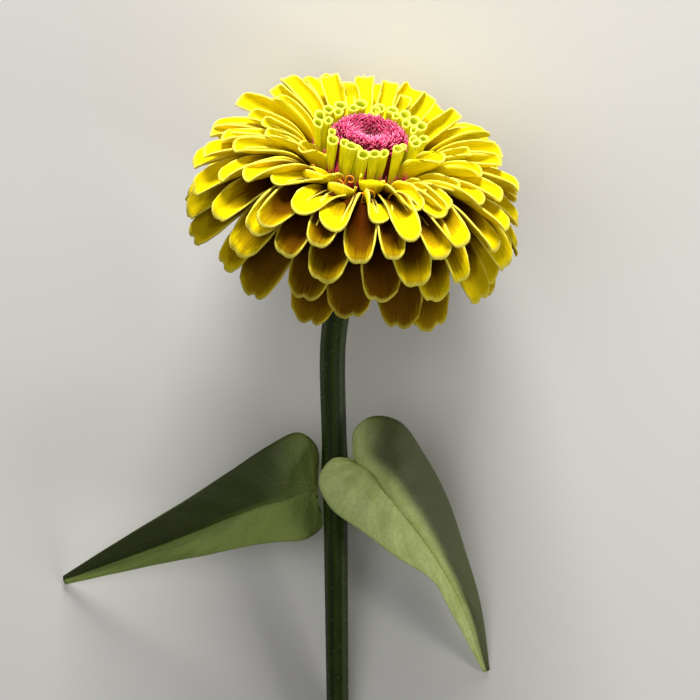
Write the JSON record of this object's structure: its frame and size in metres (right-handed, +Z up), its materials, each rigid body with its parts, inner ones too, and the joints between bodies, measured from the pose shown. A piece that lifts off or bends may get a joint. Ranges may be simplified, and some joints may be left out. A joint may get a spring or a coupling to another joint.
{
  "type": "zinnia flower",
  "caption": "Cut double zinnia lying on a table: domed head of overlapping ray petals round a fringed disc, green cup of bracts, straight stem and a pair of pointed leaves.",
  "frame": {"origin": "middle of the part's bounding box on the table plane that the flower lies on", "axes": "+Z up from the table, +Y along the stem from its cut end to the head, +X to the right seen from above with the head at the top"},
  "size_m": [0.101, 0.1508, 0.071],
  "materials": {
    "petal": "matte lime-yellow petal with a paler rim and a rose-brown flush towards its base",
    "quill": "matte lime-green rolled floret",
    "disc": "matte pink fringed floret",
    "bract": "matte mid green scale with a dark edge",
    "stem": "satin dark green, lighter along one side, softly hairy",
    "leaf": "satin grey-green with paler veins"
  },
  "bodies": {
    "root": {"ray_florets": "petal", "quill_florets": "quill", "disc_florets": "disc", "involucre": "bract", "stem": "stem", "leaf_left": "leaf", "leaf_right": "leaf"}
  },
  "joints": []
}
